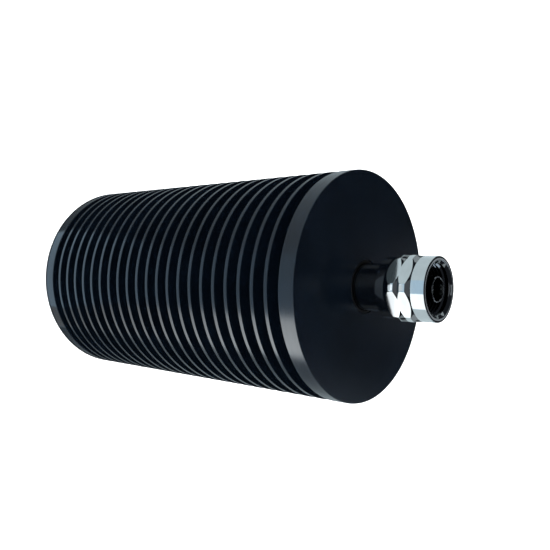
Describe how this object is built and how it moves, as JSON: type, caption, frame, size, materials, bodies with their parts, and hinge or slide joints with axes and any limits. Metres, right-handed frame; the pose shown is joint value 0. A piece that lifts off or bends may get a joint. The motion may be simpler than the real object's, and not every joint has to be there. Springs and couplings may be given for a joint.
{
  "type": "rf dummy load",
  "caption": "Dry coaxial dummy load: black finned round heat sink between end discs, with a coaxial plug and a hexagonal coupling nut on its front face.",
  "frame": {"origin": "centre of the rear disc's flat face, on the main axis", "axes": "+Z along the main axis, from the rear disc to the plug"},
  "size_m": [0.075, 0.075, 0.1544],
  "materials": {
    "black_anodised": "satin",
    "nickel_plate": "polished",
    "contact_plate": "polished",
    "spring_bronze": "satin",
    "gasket_rubber": "matte",
    "seal_rubber": "matte",
    "bead_plastic": "satin",
    "carrier_copper": "satin",
    "chip_ceramic": "matte",
    "lead_silver": "satin"
  },
  "bodies": {
    "load_body": {"heat_sink": "black_anodised", "load_carrier": "carrier_copper", "chip_substrate": "chip_ceramic", "chip_lid": "chip_ceramic", "chip_lead": "lead_silver", "body_seal": "seal_rubber", "connector_body": "nickel_plate", "rear_bead": "bead_plastic", "front_bead": "bead_plastic", "centre_pin": "contact_plate", "plug_gasket": "gasket_rubber", "snap_ring": "spring_bronze"},
    "nut_body": {"coupling_nut": "nickel_plate"}
  },
  "joints": [
    {"name": "nut_spin", "type": "hinge", "parent": "load_body", "child": "nut_body", "pos_m": [0, 0, 0.146], "axis": [0, 0, 1], "continuous": true}
  ]
}
